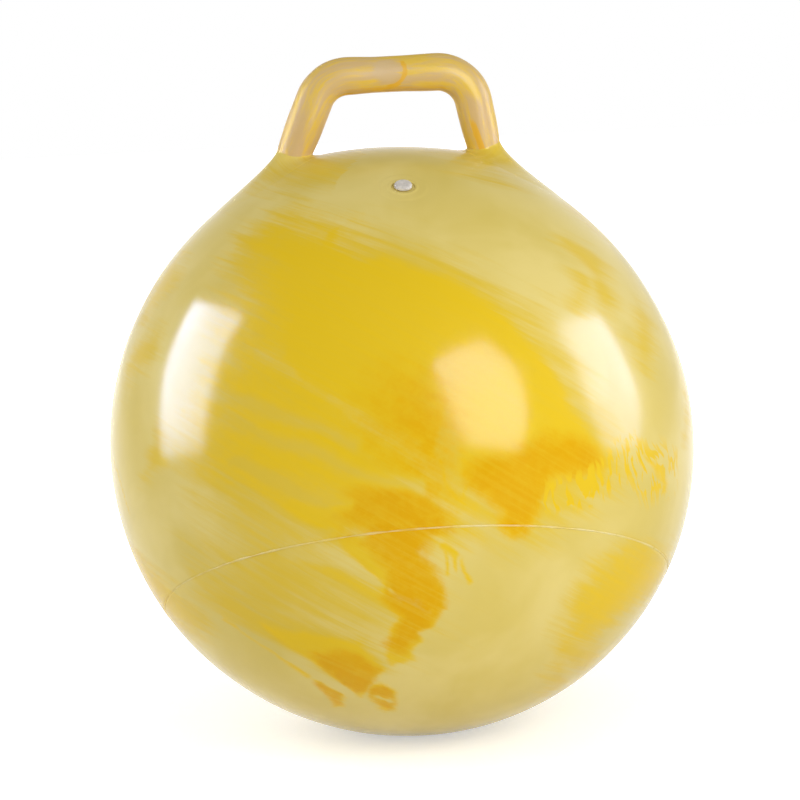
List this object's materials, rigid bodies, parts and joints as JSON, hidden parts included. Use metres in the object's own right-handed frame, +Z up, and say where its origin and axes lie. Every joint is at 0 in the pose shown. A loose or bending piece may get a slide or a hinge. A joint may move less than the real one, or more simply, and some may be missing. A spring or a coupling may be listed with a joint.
{
  "type": "hopper ball",
  "caption": "Blown-up soft ball to sit and bounce on, with a moulded hand loop on top, a raised mould seam and a push-in air plug that pulls out of its seat.",
  "frame": {"origin": "centre of the flat where the ball rests on the floor", "axes": "+Z up along the ball's axis towards the hand loop, -Y to the front with the air valve, +X to the right"},
  "size_m": [0.4499, 0.45, 0.5235],
  "materials": {
    "marbled_vinyl": "gloss",
    "seam_vinyl": "gloss",
    "loop_vinyl": "satin",
    "seat_vinyl": "satin",
    "plug_plastic": "gloss"
  },
  "bodies": {
    "ball": {"upper_skin": "marbled_vinyl", "lower_skin": "marbled_vinyl", "seam_flash": "seam_vinyl", "handle_loop": "loop_vinyl", "left_root": "marbled_vinyl", "right_root": "marbled_vinyl", "valve_seat": "seat_vinyl"},
    "plug": {"valve_plug": "plug_plastic"}
  },
  "joints": [
    {"name": "plug_pull", "type": "slide", "parent": "ball", "child": "plug", "axis": [0, -0.4462, 0.8949], "range_m": [0, 0.024]}
  ]
}
